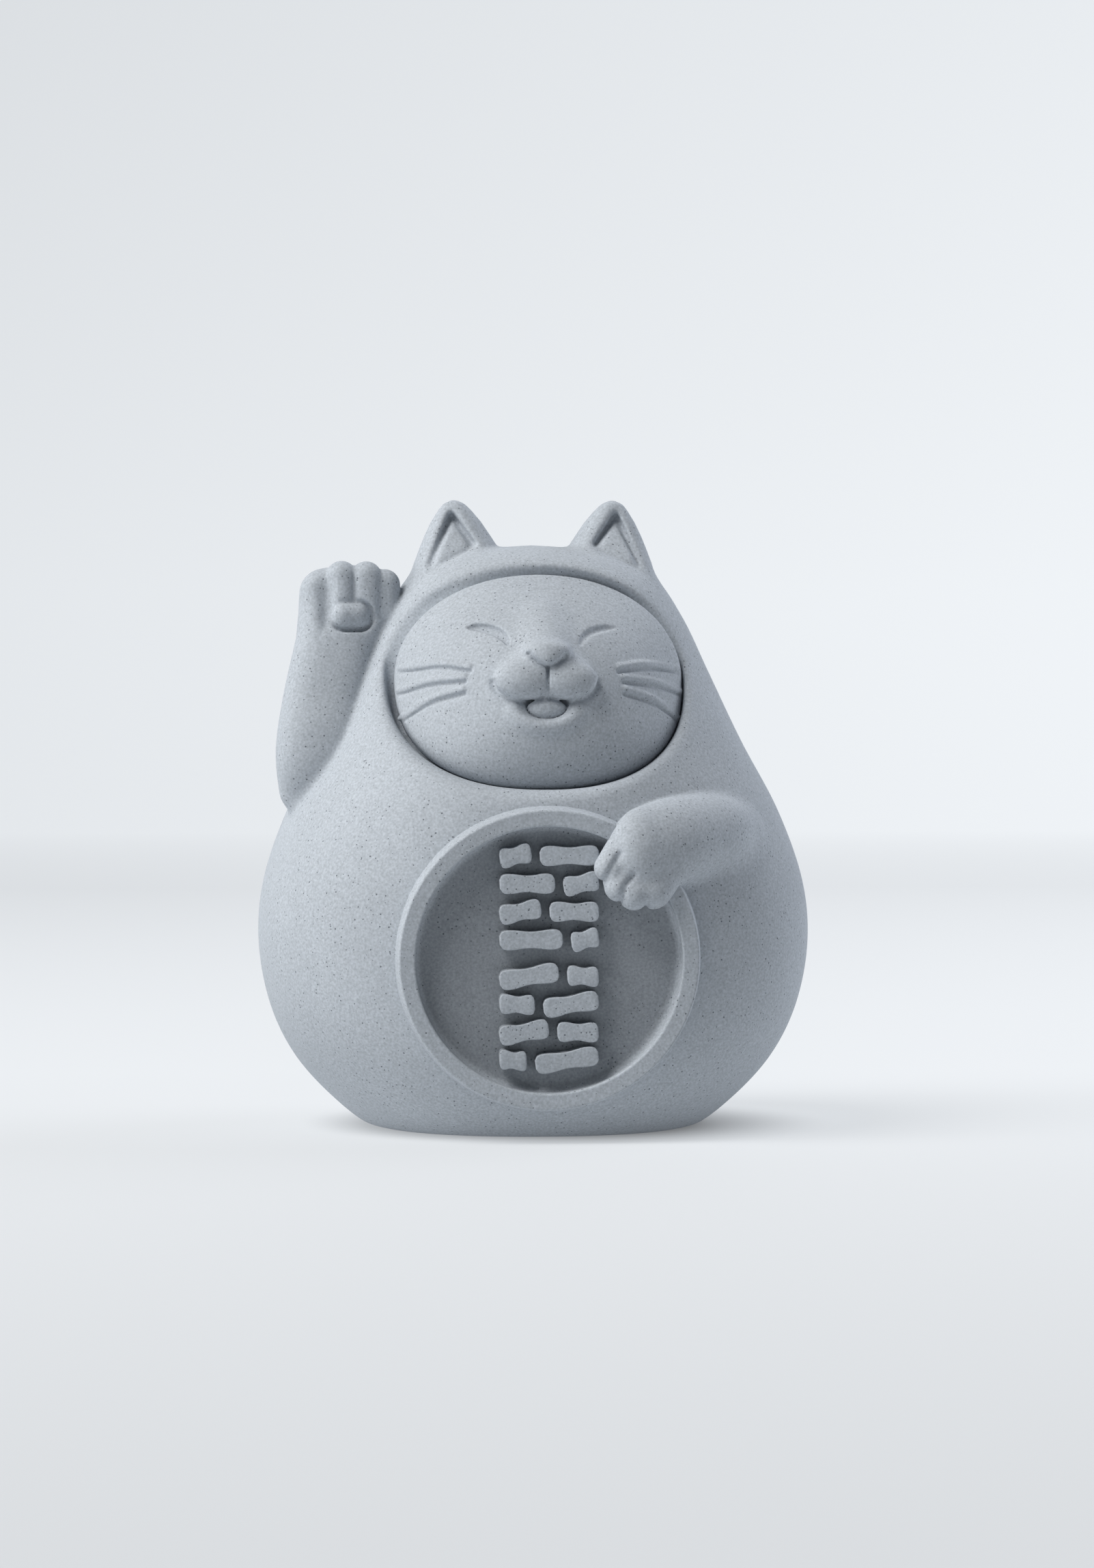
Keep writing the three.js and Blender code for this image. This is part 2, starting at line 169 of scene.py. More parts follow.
def addShape(grid, shape, reach, sign=1):
    low, high, distance = shape
    cuts = windowOf(grid, low, high, shapeSpare)
    p = pointsOf(grid, cuts)
    soft = reach(*p) if callable(reach) else reach
    grid["field"][cuts] = sign * blendMin(sign * grid["field"][cuts], distance(*p), soft)


def cutShape(grid, shape, reach):
    addShape(grid, shape, reach, -1)


def joinField(grid, part, reach, cuts=whole):
    grid["field"][cuts] = blendMin(grid["field"][cuts], part["field"], reach)


def levelled(field, cell):  # turns any smooth measure into a distance near its surface
    slopes = np.gradient(field, cell)
    steep = np.clip(np.sqrt(sum(s * s for s in slopes)), *slopeLimits)
    return (field / steep).astype(np.float32)


def ellipsoid(at, half, lean=0.0):
    c, s = math.cos(math.radians(lean)), math.sin(math.radians(lean))
    biggest = max(half)

    def distance(x, y, z):
        x, y, z = x - at[0], y - at[1], z - at[2]
        y, z = y * c - z * s, z * c + y * s
        near = np.sqrt((x / half[0]) ** 2 + (y / half[1]) ** 2 + (z / half[2]) ** 2) + tiny
        far = np.sqrt((x / half[0] ** 2) ** 2 + (y / half[1] ** 2) ** 2 + (z / half[2] ** 2) ** 2) + tiny
        return near * (near - 1) / far

    return [a - biggest for a in at], [a + biggest for a in at], distance


def cushion(at, half, corner, edge, lean):  # a flat pad, its outline rounded by corner and its rim by edge
    def distance(x, y, z):
        y = y - lean[0] * (x - at[0]) - lean[1] * (z - at[2])
        qx, qz = (np.abs(p - a) - (h - corner) for p, a, h in ((x, at[0], half[0]), (z, at[2], half[2])))
        beyond = np.sqrt(np.maximum(qx, 0) ** 2 + np.maximum(qz, 0) ** 2)
        outline = beyond + np.minimum(np.maximum(qx, qz), 0) - corner
        return blendMax(outline, np.abs(y - at[1]) - half[1], edge * 2)

    return [a - h for a, h in zip(at, half)], [a + h for a, h in zip(at, half)], distance


def coinHollow(s):  # everything ahead of a depth, within a radius of the coin's axis
    c, k = math.cos(math.radians(s["tilt"])), math.sin(math.radians(s["tilt"]))
    radius, behind = s["radius"] - s["hollowInset"], s["thickness"] * s["hollowDepth"]
    spareAhead, spareBehind = s["hollowSpare"]

    def distance(x, y, z):
        x, y, z = x - s["x"], y - s["y"], z - s["z"]
        up, front = z * c - y * k, -y * c - z * k
        return np.maximum(np.sqrt(x * x + up * up) - radius, -front - behind)

    low = (s["x"] - radius, s["y"] - spareAhead, s["z"] - radius)
    high = (s["x"] + radius, s["y"] + behind + spareBehind, s["z"] + radius)
    return low, high, distance


def limb(stations, steps=24, square=2.0):  # (x, y, z, wide, deep) at each station; deep is towards the viewer
    line = throughStations(stations, np.linspace(0, 1, steps + 1), len(stations) < 3)
    low = (line[:, :3] - line[:, 3:].max(1, keepdims=True)).min(0)
    high = (line[:, :3] + line[:, 3:].max(1, keepdims=True)).max(0)

    def distance(x, y, z):
        nearest = None
        for a, b in zip(line[:-1], line[1:]):
            along = b[:3] - a[:3]
            length2 = float(along @ along)
            t = ((x - a[0]) * along[0] + (y - a[1]) * along[1] + (z - a[2]) * along[2]) / length2
            t = np.clip(t, 0, 1)
            ox, oy, oz = (p - (a[k] + t * along[k]) for k, p in enumerate((x, y, z)))
            tangent = along / math.sqrt(length2)
            outward = np.array([0, -1.0, 0]) + tangent[1] * tangent
            outward /= np.linalg.norm(outward)
            ahead = ox * outward[0] + oy * outward[1] + oz * outward[2]
            all2 = ox * ox + oy * oy + oz * oz + 1e-9
            wide, deep = a[3] + t * (b[3] - a[3]), a[4] + t * (b[4] - a[4])
            aside = np.maximum(all2 - ahead * ahead, 0) / wide ** 2
            measure = ((ahead * ahead / deep ** 2) ** (square / 2) + aside ** (square / 2)) ** (1 / square)
            gap = np.sqrt(all2) * (1 - 1 / (measure + tiny))
            nearest = gap if nearest is None else np.minimum(nearest, gap)
        return nearest

    return low, high, distance


def crease(grid, line, depth, width):  # a furrow seen from the front, in whatever surface it crosses
    x, _, z = pointsOf(grid)
    x, z = x[:, 0, :], z[:, 0, :]
    away = farAway
    for (ax, az), (bx, bz) in zip(line, line[1:]):
        dx, dz = bx - ax, bz - az
        t = np.clip(((x - ax) * dx + (z - az) * dz) / (dx ** 2 + dz ** 2), 0, 1)
        away = np.minimum(away, np.hypot(x - ax - t * dx, z - az - t * dz))
    furrow = depth * np.exp(-(away / width) ** 2)
    grid["field"] += furrow[:, None, :].astype(np.float32)


def fieldToMesh(grid, name):  # surface nets: one corner in each cell that the surface crosses
    field, cell = grid["field"], grid["cell"]
    inside = field < 0
    crossed = np.zeros(tuple(n - 1 for n in field.shape), bool)
    corner = inside[:-1, :-1, :-1]
    nx, ny, nz = crossed.shape
    for i, j, k in cellCorners:
        crossed |= inside[i:i + nx, j:j + ny, k:k + nz] != corner
    ci, cj, ck = np.nonzero(crossed)
    number = np.full(crossed.shape, -1, np.int32)
    number[ci, cj, ck] = np.arange(len(ci))
    values = {(i, j, k): field[ci + i, cj + j, ck + k] for i, j, k in cellCorners}
    total = np.zeros((len(ci), 3))
    count = np.zeros(len(ci))
    for a in values:
        for axis in range(3):
            if a[axis]:
                continue
            b = tuple(1 if n == axis else a[n] for n in range(3))
            va, vb = values[a], values[b]
            cross = (va < 0) != (vb < 0)
            t = np.where(cross, va / np.where(cross, va - vb, 1), 0)
            point = np.tile(np.array(a, float), (len(ci), 1))
            point[:, axis] = t
            total += point * cross[:, None]
            count += cross
    corners = total / count[:, None] + np.stack([ci, cj, ck], 1)
    corners = settle(grid, corners)
    faces = []
    for axis in range(3):
        u, v = (axis + 1) % 3, (axis + 2) % 3
        span = [slice(1, -1)] * 3
        span[axis] = slice(0, -1)
        ahead = list(span)
        ahead[axis] = slice(1, None)
        here, there = inside[tuple(span)], inside[tuple(ahead)]
        base = np.stack(np.nonzero(here != there), 1)
        out = here[here != there]
        quad = []
        for du, dv in ((0, 0), (1, 0), (1, 1), (0, 1)):
            at = base.copy()
            at[:, u] += du
            at[:, v] += dv
            quad.append(number[tuple(at.T)])
        quad = np.stack(quad, 1)
        quad[~out] = quad[~out][:, ::-1]
        faces.append(quad)
    faces = np.concatenate(faces)
    start = np.array([axis[0] for axis in grid["axes"]])
    return meshObject(name, (corners * cell + start) * mm, faces)


def settle(grid, corners):  # moves the corners on to the true surface, in two steps of half a cell at most
    field = grid["field"]
    top = np.array(field.shape) - 1.001
    for _ in range(2):
        value, slope = sampled(field, np.clip(corners, 0, top))
        size2 = (slope ** 2).sum(1) + 1e-9
        step = np.clip(value / size2, -0.5, 0.5)
        corners = corners - slope * step[:, None]
    return corners


def sampled(field, at):  # value and slope between the corners of a cell
    low = np.floor(at).astype(int)
    t = at - low
    value = np.zeros(len(at))
    slope = np.zeros((len(at), 3))
    for i, j, k in cellCorners:
        f = field[low[:, 0] + i, low[:, 1] + j, low[:, 2] + k]
        w = [t[:, n] if on else 1 - t[:, n] for n, on in enumerate((i, j, k))]
        value += f * w[0] * w[1] * w[2]
        slope[:, 0] += f * (1 if i else -1) * w[1] * w[2]
        slope[:, 1] += f * (1 if j else -1) * w[0] * w[2]
        slope[:, 2] += f * (1 if k else -1) * w[0] * w[1]
    return value, slope


def shadeSmooth(mesh):
    mesh.polygons.foreach_set("use_smooth", np.ones(len(mesh.polygons), bool))


def meshObject(name, corners, faces):
    mesh = bpy.data.meshes.new(name)
    mesh.vertices.add(len(corners))
    mesh.vertices.foreach_set("co", np.asarray(corners, np.float32).ravel())
    mesh.loops.add(faces.size)
    mesh.loops.foreach_set("vertex_index", faces.astype(np.int32).ravel())
    mesh.polygons.add(len(faces))
    mesh.polygons.foreach_set("loop_start", np.arange(0, faces.size, 4, dtype=np.int32))
    mesh.polygons.foreach_set("loop_total", np.full(len(faces), 4, np.int32))
    mesh.update(calc_edges=True)
    mesh.validate()
    shadeSmooth(mesh)
    return putInScene(name, mesh)


def applied(piece):  # bakes the modifiers into a plain mesh
    bpy.context.view_layer.update()
    seen = piece.evaluated_get(bpy.context.evaluated_depsgraph_get())
    old, mesh = piece.data, bpy.data.meshes.new_from_object(seen)
    piece.modifiers.clear()
    piece.data = mesh
    mesh.name = piece.name
    bpy.data.meshes.remove(old)


def triangles(piece):
    return sum(len(p.vertices) - 2 for p in piece.data.polygons)


def thinned(piece, most):  # fewer faces where the form is calm
    now = triangles(piece)
    if now > most:
        thin = piece.modifiers.new("thin", "DECIMATE")
        thin.ratio = most / now
        applied(piece)
    shadeSmooth(piece.data)
    print(piece.name, now, "->", triangles(piece), "triangles")
    return piece


# nodes, for materials and for geometry

def wire(tree, kind, links=None, settings=None):
    node = tree.nodes.new(kind)
    for name, value in (settings or {}).items():
        setattr(node, name, value)
    for key, value in (links or {}).items():
        socket = node.inputs[key]
        if isinstance(value, bpy.types.NodeSocket):
            tree.links.new(value, socket)
        else:
            socket.default_value = value
    return node


def ranged(tree, value, low, high, to0, to1, smooth=False):
    return wire(tree, "ShaderNodeMapRange", {
        "Value": value, "From Min": low, "From Max": high, "To Min": to0, "To Max": to1},
        {"interpolation_type": "SMOOTHSTEP" if smooth else "LINEAR"}).outputs["Result"]


def sums(tree, kind, a, b):
    return wire(tree, "ShaderNodeMath", {0: a, 1: b}, {"operation": kind}).outputs[0]


def product(tree, made, *others):
    for other in others:
        made = sums(tree, "MULTIPLY", made, other)
    return made


# cement: fine blue-grey casting with dark grains and pinholes, and painted shade on the sunk ground of the
# coin's dish

cement = {
    "colour": (0.41, 0.445, 0.485),
    "noiseMiddle": (0.3, 0.7),  # the part of each noise that is spread over its range
    "cloud": 0.035,  # share by which broad patches change
    "cloudNoise": (14, 3),  # mm, detail
    "grain": 0.16,
    "grainNoise": (0.34, 3),
    "spotColour": (0.075, 0.085, 0.1),
    "spotDarkness": 0.8,
    "spotChoice": 0.02,
    "spotEdge": 0.08,
    "fineSpots": (0.62, 0.75, 0.05, 0.15),  # mm between them, share of places with one, least and most mm
    "rareSpots": (2.6, 0.4, 0.1, 0.22),
    "roughness": (0.84, 0.95),
    "roughnessNoise": (1.1, 2),
    "gloss": 0.25,
    "bumpNoise": (0.3, 3),
    "bumpStrength": 0.55,
    "grainDepth": 0.04,  # mm
    "pinDepth": 0.06,
    "ground": {  # painted shade: the sunk ground of the dish is darkened, fading between these radii and depths
        "middle": (0.1, 25.7),  # x and z, as the coin's
        "radius": (17.6, 18.5),
        "top": (-36.3, -35.0),
        "behind": (-31.5, -31.0),
        "share": 0.66,
    },
}


def makeCement(s):
    material = bpy.data.materials.new("cement")
    material.use_nodes = True
    tree = material.node_tree
    tree.nodes.clear()
    where = tree.nodes.new("ShaderNodeTexCoord").outputs["Object"]

    def noise(size, detail):
        return wire(tree, "ShaderNodeTexNoise", {
            "Scale": 1 / (size * mm), "Detail": detail, "Vector": where}).outputs["Fac"]

    def spread(pattern, low, high):
        return ranged(tree, pattern, *s["noiseMiddle"], low, high)

    def spots(spacing, share, least, most):  # dark dots in some of the cells
        cells = wire(tree, "ShaderNodeTexVoronoi", {"Scale": 1 / (spacing * mm), "Vector": where}).outputs
        parts = wire(tree, "ShaderNodeSeparateColor", {0: cells["Color"]}).outputs
        chosen = ranged(tree, parts[0], 1 - share, 1 - share + s["spotChoice"], 0, 1)
        size = ranged(tree, parts[1], 0, 1, least / spacing, most / spacing)
        near = sums(tree, "SUBTRACT", size, cells["Distance"])
        return product(tree, ranged(tree, near, 0, s["spotEdge"], 0, 1, True), chosen)

    # painted shade in the coin's dish: a mask over its sunk ground, by distance from the coin's axis and by
    # depth
    ground = s["ground"]
    place = wire(tree, "ShaderNodeSeparateXYZ", {0: where}).outputs
    offsets = [sums(tree, "SUBTRACT", place[axis], at * mm) for axis, at in zip("XZ", ground["middle"])]
    squares = [product(tree, offset, offset) for offset in offsets]
    reach = sums(tree, "SQRT", sums(tree, "ADD", *squares), 0)
    limits = ((reach, "radius", 1, 0), (place["Y"], "top", 0, 1), (place["Y"], "behind", 1, 0))
    sunk = product(tree, *(
        ranged(tree, value, ground[name][0] * mm, ground[name][1] * mm, a, b, True)
        for value, name, a, b in limits))

    cloud = spread(noise(*s["cloudNoise"]), 1 - s["cloud"], 1 + s["cloud"])
    grain = spread(noise(*s["grainNoise"]), 1 - s["grain"], 1 + s["grain"])
    # the tone takes the broad patches, the grain and the painted shade of the dish
    tone = product(tree, cloud, grain, ranged(tree, sunk, 0, 1, 1, ground["share"]))
    grey = wire(tree, "ShaderNodeCombineColor", dict.fromkeys(range(3), tone))
    plain = wire(tree, "ShaderNodeMix", {
        "Factor": 1.0, "A": (*s["colour"], 1), "B": grey.outputs[0]},
        {"data_type": "RGBA", "blend_type": "MULTIPLY"})
    pins = sums(tree, "MAXIMUM", spots(*s["fineSpots"]), spots(*s["rareSpots"]))
    spotted = wire(tree, "ShaderNodeMix", {
        "Factor": product(tree, pins, s["spotDarkness"]),
        "A": plain.outputs["Result"], "B": (*s["spotColour"], 1)}, {"data_type": "RGBA"})
    rough = product(tree, noise(*s["bumpNoise"]), s["grainDepth"])
    height = sums(tree, "SUBTRACT", rough, product(tree, pins, s["pinDepth"]))
    bump = wire(tree, "ShaderNodeBump", {"Strength": s["bumpStrength"], "Distance": mm, "Height": height})
    skin = wire(tree, "ShaderNodeBsdfPrincipled", {
        "Base Color": spotted.outputs["Result"],
        "Roughness": spread(noise(*s["roughnessNoise"]), *s["roughness"]),
        "Specular IOR Level": s["gloss"],
        "Normal": bump.outputs[0]})
    wire(tree, "ShaderNodeOutputMaterial", {0: skin.outputs[0]})
    return material


castCement = makeCement(cement)
print("cement mixed")


# body: a pear, from rounded sections one above another

body = {
    "cell": 0.3,
    "grid": ((-41, -43, -1.2), (41, 37, 92)),
    "mostTriangles": 190000,
    "z": (0, 4.2, 10.5, 18, 27, 36, 46, 56, 66, 74, 80, 83.3, 84.5),
    "side": (23.4, 29.2, 34.8, 38.35, 39.93, 39.15, 35.7, 30.5, 25.8, 22.0, 17.7, 11.0, 0),
    "front": (24.6, 31.2, 34.8, 36.3, 36.8, 36.5, 34.8, 31.2, 26.8, 22.6, 17.8, 10.6, 0),
    "back": (18.5, 25.0, 30.5, 34.15, 35.66, 34.9, 31.8, 27.6, 23.8, 20.4, 16.8, 10.4, 0),
    "levels": 1500,  # points along the curves of those sizes
    "squareLeast": 2.05,  # 2 is an ellipse
    "squareMost": 2.6,  # at squareZ, in the front half
    "squareZ": 28,
    "squareSpread": 24,
    "squareBehind": 2.0,
    "topSlope": 12,
    "footRound": 0.9,
}


def bodyDistance(s, x, y, z):
    t = np.linspace(0, 1, s["levels"])
    heights = throughStations(np.array(s["z"])[:, None], t)[:, 0]
    sizes = throughStations(np.stack([s["side"], s["front"], s["back"]], 1), t, False)
    level = z.ravel()
    side, front, back = (np.maximum(np.interp(level, heights, sizes[:, k]), leastHalf) for k in range(3))
    square = s["squareLeast"] + (s["squareMost"] - s["squareLeast"]) * np.exp(
        -((level - s["squareZ"]) / s["squareSpread"]) ** 2)
    away = np.abs(y)
    shares = []
    for half, power in ((front, square), (back, np.full_like(square, s["squareBehind"]))):
        inX = (np.abs(x) / side).astype(np.float32) ** power.astype(np.float32)
        inY = (away / half).astype(np.float32) ** power.astype(np.float32)
        shares.append((inX, inY, (1 / power).astype(np.float32)))
    radius = np.sqrt(x * x + y * y)
    ahead = y[0, :, 0] < 0
    field = np.empty(np.broadcast_shapes(x.shape, y.shape, z.shape), np.float32)
    for (inX, inY, root), mask in zip(shares, (ahead, ~ahead)):
        rho = (inX + inY[:, mask]) ** root + tiny
        field[:, mask] = radius[:, mask] * (1 - 1 / rho)
    return field + np.maximum(z - s["z"][-1], 0) * s["topSlope"]


ears = {
    "z": (75, 81.8, 83.8, 85.8, 87.8, 89.5, 90.4, 90.85, 91.0),
    "inner": (2.0, 3.9, 4.9, 6.2, 7.55, 9.0, 9.95, 10.8, 11.6),
    "outer": (18.4, 17.3, 16.6, 15.8, 14.85, 13.8, 13.1, 12.3, 11.6),
    "front": (-12.5, -9.4, -8.0, -6.9, -6.0, -5.2, -4.6, -3.8, -2.6),
    "back": (6.5, 4.2, 3.2, 2.2, 1.3, 0.3, -0.5, -1.4, -2.6),
    "square": 2.5,
    "topSlope": 6,
    "window": ((0.5, -14, 76.5), (19.5, 8, 91.5)),
    "blend": 1.6,
    "pocket": ((11.95, 88.8), (15.2, 80.9), (8.9, 84.2)),  # the hollow's corners
    "pocketCorner": 0.8,
    "pocketY": -8.75,
    "pocketSlope": 0.62,
    "pocketRim": 0.15,  # how far the hollow goes beyond the cushion in it
    "pocketRound": 0.3,
    "pocketEdge": 1.6,
    "pocketWindow": ((8.0, -13, 80), (16.5, -2, 90)),
    "cushionRise": 0.35,
    "cushionThick": 2.0,
    "cushionDrop": 0.35,  # closes the lower edge of the hollow
    "cushionRound": 0.8,
    "cushionBlend": 0.2,
    "cushionWindow": ((8.0, -9, 80), (16.5, -2, 90)),
    "crease": ((15.1, 81.5), (11.95, 88.75), (8.92, 84.5)),  # up and over the cushion
    "creaseSize": (0.42, 0.36),
    "creaseFrom": -3.0,  # behind this the ear stays plain
}


def sided(window, side):  # a box on the cat's left, or its mirror image on the right
    (x0, y0, z0), (x1, y1, z1) = window
    low, high = sorted((side * x0, side * x1))
    return (low, y0, z0), (high, y1, z1)


def ear(s, side, cell):
    def distance(x, y, z):
        level = z.ravel()
        sizes = (s[key] for key in ("inner", "outer", "front", "back"))
        inner, outer, front, back = (np.interp(level, s["z"], size) for size in sizes)
        dx, dy = np.abs(side * x - (inner + outer) / 2), np.abs(y - (front + back) / 2)
        halfX, halfY = (np.maximum(size / 2, leastHalf) for size in (outer - inner, back - front))
        rho = ((dx / halfX) ** s["square"] + (dy / halfY) ** s["square"]) ** (1 / s["square"]) + tiny
        field = np.sqrt(dx * dx + dy * dy) * (1 - 1 / rho)
        return levelled(field + np.maximum(z - s["z"][-1], 0) * s["topSlope"], cell)

    return (*sided(s["window"], side), distance)


def earTriangle(s, side, kind, grow, forward, drop=0.0, thick=None):
    # all that is ahead of a sloping floor in the ear or, with a thickness, a slab behind that floor
    corners = [np.array((side * x, z)) for x, z in s["pocket"]]
    middle = sum(corners) / 3

    def distance(x, y, z):
        flat = None
        for a, b in zip(corners, corners[1:] + corners[:1]):
            along = (b - a) / np.linalg.norm(b - a)
            normal = np.array((along[1], -along[0]))
            if normal @ (middle - a) > 0:
                normal = -normal
            gap = (x - a[0]) * normal[0] + (z + drop - a[1]) * normal[1]
            flat = gap if flat is None else blendMax(flat, gap, s["pocketCorner"] * 2)
        floor = s["pocketY"] - forward + (z - s["pocket"][1][1]) * s["pocketSlope"]
        deep = (y - floor) / math.hypot(1, s["pocketSlope"])
        if thick is not None:
            deep = np.maximum(-deep, y - floor - thick)
        return blendMax(flat - grow, deep, s[kind + "Round"])

    return (*sided(s[kind + "Window"], side), distance)


# face: a dome set in the hood behind a groove

face = {
    "cell": 0.2,
    "grid": ((-21.6, -37.5, 48), (21.6, -8.6, 81)),
    "mostTriangles": 180000,
    "halfWidth": 20.6,
    "halfHeight": 15.35,
    "midZ": 64.45,
    "squareAbove": 2.08,
    "squareBelow": 2.35,
    "rimY": -14.9,  # at the temples
    "rimBend": (62.3, 2.5),  # below this height, bent over this distance, the edge comes forward as it drops
    "rimBrow": (70.0, 9.8, 1.1),  # above this height, over this distance, it comes forward by this much
    "crownZ": 60.5,
    "crownY": -32.4,
    "steepSides": 0.8,
    "steepChange": 0.27,
    "groove": {"right": 1.0, "left": 0.12, "brow": 0.8, "chin": -0.2},  # widths; the chin rests on the chest
    "grooveDepth": (-21, -9, 3.8, 1.4),  # two places across, and its depth at each
    "grooveSlant": 1.1,
    "grooveBlend": 0.9,
    "hoodRound": (-12, 14, 2.6, 1.5),  # two places across, and how softly the hood rolls in at each
    "hoodWindow": ((-22.5, -40, 47.5), (22.5, -13, 82.5)),
    "rimRound": 0.35,
    "back": 5.2,  # how far the dome goes back behind its rim
    "backSlant": 1.2,
    "search": (40.0, 30),  # how far out the outline is looked for, and in how many halvings
    "turns": 1441,
}


def rimY(s, z):
    bend, soft = s["rimBend"]
    start, span, ahead = s["rimBrow"]
    chin, brow = np.logaddexp(0, (bend - z) / soft), np.maximum((z - start) / span, 0) ** 2
    return s["rimY"] - soft * chin - ahead * brow


def outlineReach(s, turn, gap):  # from the crown to the outline, grown by a gap
    most, halvings = s["search"]
    near, far = np.zeros_like(turn), np.full_like(turn, most)
    for _ in range(halvings):
        reach = (near + far) / 2
        x, z = reach * np.cos(turn), s["crownZ"] + reach * np.sin(turn) - s["midZ"]
        power = np.where(z > 0, s["squareAbove"], s["squareBelow"])
        tall = s["halfHeight"] + np.where(z > 0, gap["brow"], gap["chin"])
        wide = s["halfWidth"] + np.where(x > 0, gap["left"], gap["right"])
        inside = np.abs(x / wide) ** power + np.abs(z / tall) ** power < 1
        near, far = np.where(inside, reach, near), np.where(inside, far, reach)
    return near


turns = np.linspace(-math.pi, math.pi, face["turns"])
faceReach = outlineReach(face, turns, dict.fromkeys(face["groove"], 0.0))
hoodReach = outlineReach(face, turns, face["groove"])


def domeY(s, x, z):  # how far forward the plain dome comes
    turn = np.arctan2(z - s["crownZ"], x)
    reach = np.interp(turn, turns, faceReach)
    share = np.minimum(np.hypot(x, z - s["crownZ"]) / reach, 1)
    edge = rimY(s, s["crownZ"] + reach * np.sin(turn))
    bulge = np.maximum(1 - share * share, 0) ** (s["steepSides"] + s["steepChange"] * np.sin(turn))
    return edge + (s["crownY"] - edge) * bulge


def outlineGap(s, reaches, x, z, cell):
    turn = np.arctan2(z - s["crownZ"], x)
    gap = np.hypot(x, z - s["crownZ"]) - np.interp(turn, turns, reaches)
    slopes = np.gradient(gap, cell)
    return gap / np.hypot(*slopes)


def hoodOpening(s, cell):
    def distance(x, y, z):
        flat = outlineGap(s, hoodReach, x[:, 0, :], z[:, 0, :], cell)[:, None, :]
        deep = (y - rimY(s, z) - eased(x, *s["grooveDepth"])) / s["grooveSlant"]
        return blendMax(flat, deep, s["grooveBlend"])

    return (*s["hoodWindow"], distance)


# arms and paws

raisedArm = {
    "window": ((-40, -17, 40), (-17, 6, 84)),
    "stations": (  # x, y, z, half width, half depth
        (-33.3, -8.0, 49.2, 3.7, 4.0), (-31.3, -9.0, 54.6, 6.2, 5.4), (-30.5, -7.6, 61.5, 6.0, 5.0),
        (-28.9, -5.6, 69.0, 5.9, 4.5), (-27.6, -4.8, 72.6, 6.3, 4.4)),
    "square": 2.7,
    "paw": ((-26.7, -3.2, 76.6), (6.7, 4.0, 4.9)),
    "pawBlend": 1.5,
    "toes": (  # x, top and bottom, half width, forward
        (-30.7, 80.8, 70.0, 3.25, -4.9), (-27.95, 82.0, 73.0, 2.3, -6.0),
        (-24.4, 81.95, 73.0, 2.3, -6.0), (-21.75, 80.85, 72.5, 2.3, -5.1)),
    "toeDeep": 3.0,
    "toeSquare": 2.6,
    "toeGroups": (((0,), 1.4), ((3,), 0.9), ((1, 2), 0.35)),  # toes blended in together, and how softly
    "between": 0.2,
    "pad": (-26.5, -7.7, 74.0),
    "padHalf": (2.95, 1.9, 2.1),
    "padCorner": 1.85,
    "padEdge": 1.3,
    "padLean": (0.16, -0.12),
    "padBlend": 0.15,
    "padMoat": 0.26,
    "padMoatDepth": 1.3,
    "padMoatEdge": (0.1, 0.4),  # how round its floor's edge and its rim are
    "hollow": ((-30.2, -9.4, 76.2), (0.9, 1.5, 3.8)),
    "hollowBlend": 1.6,
    "blend": (47, 57, 1.5, 0.7),  # heights, and how softly it joins the body at each
}

holdingArm = {
    "window": ((4, -43, 30), (37, -10, 51)),
    "stations": (
        (25.9, -21.9, 42.0, 5.9, 5.4), (23.6, -26.2, 42.3, 6.2, 5.7), (20.8, -29.1, 42.3, 6.3, 6.0),
        (17.2, -32.8, 41.7, 6.4, 5.7), (14.2, -35.62, 40.9, 6.3, 4.4)),
    "toes": (  # root, tip, radius
        ((10.9, -36.4, 42.9), (8.2, -38.35, 38.6), 2.05), ((12.6, -36.3, 40.6), (9.7, -38.5, 36.0), 2.15),
        ((14.5, -36.0, 39.0), (11.7, -38.5, 34.9), 2.2), ((16.9, -35.2, 38.4), (14.4, -37.5, 35.5), 2.7)),
    "toeRoot": 1.1,  # depth at the root, as a share of the radius
    "toeJoin": 0.9,
    "toeBlend": 0.7,
    "creases": (
        ((7.6, 37.1), (8.5, 38.8), (9.7, 40.6)), ((9.8, 33.9), (10.2, 36.0), (11.6, 37.8)),
        ((13.2, 32.7), (13.5, 33.6))),
    "creaseDepth": 0.4,
    "creaseWidth": 0.38,
    "blend": (12, 30, 0.25, 1.3),  # x of paw and elbow, and how softly it joins the body at each
}


def addRaisedArm(grid, s):
    window = windowOf(grid, *s["window"], armSpare)
    arm = blankLike(grid, window)
    addShape(arm, limb(s["stations"], square=s["square"]), sharp)
    addShape(arm, ellipsoid(*s["paw"]), s["pawBlend"])
    for group, soft in s["toeGroups"]:
        toes = blankLike(arm)
        for x, top, bottom, half, y in (s["toes"][n] for n in group):
            ends = ((x, y, bottom + half, half, s["toeDeep"]), (x, y, top - half, half, s["toeDeep"]))
            addShape(toes, limb(ends, steps=2, square=s["toeSquare"]), s["between"])
        joinField(arm, toes, soft)
    cutShape(arm, ellipsoid(*s["hollow"]), s["hollowBlend"])
    moat = [h + s["padMoat"] for h in s["padHalf"]]
    moatY = s["pad"][1] - s["padHalf"][1] + s["padMoatDepth"] - moat[1]
    middle = (s["pad"][0], moatY, s["pad"][2])
    floorEdge, rimEdge = s["padMoatEdge"]
    cutShape(arm, cushion(middle, moat, s["padCorner"] + s["padMoat"], floorEdge, s["padLean"]), rimEdge)
    pad = cushion(s["pad"], s["padHalf"], s["padCorner"], s["padEdge"], s["padLean"])
    addShape(arm, pad, s["padBlend"])
    joinField(grid, arm, eased(arm["axes"][2], *s["blend"])[None, None, :], window)


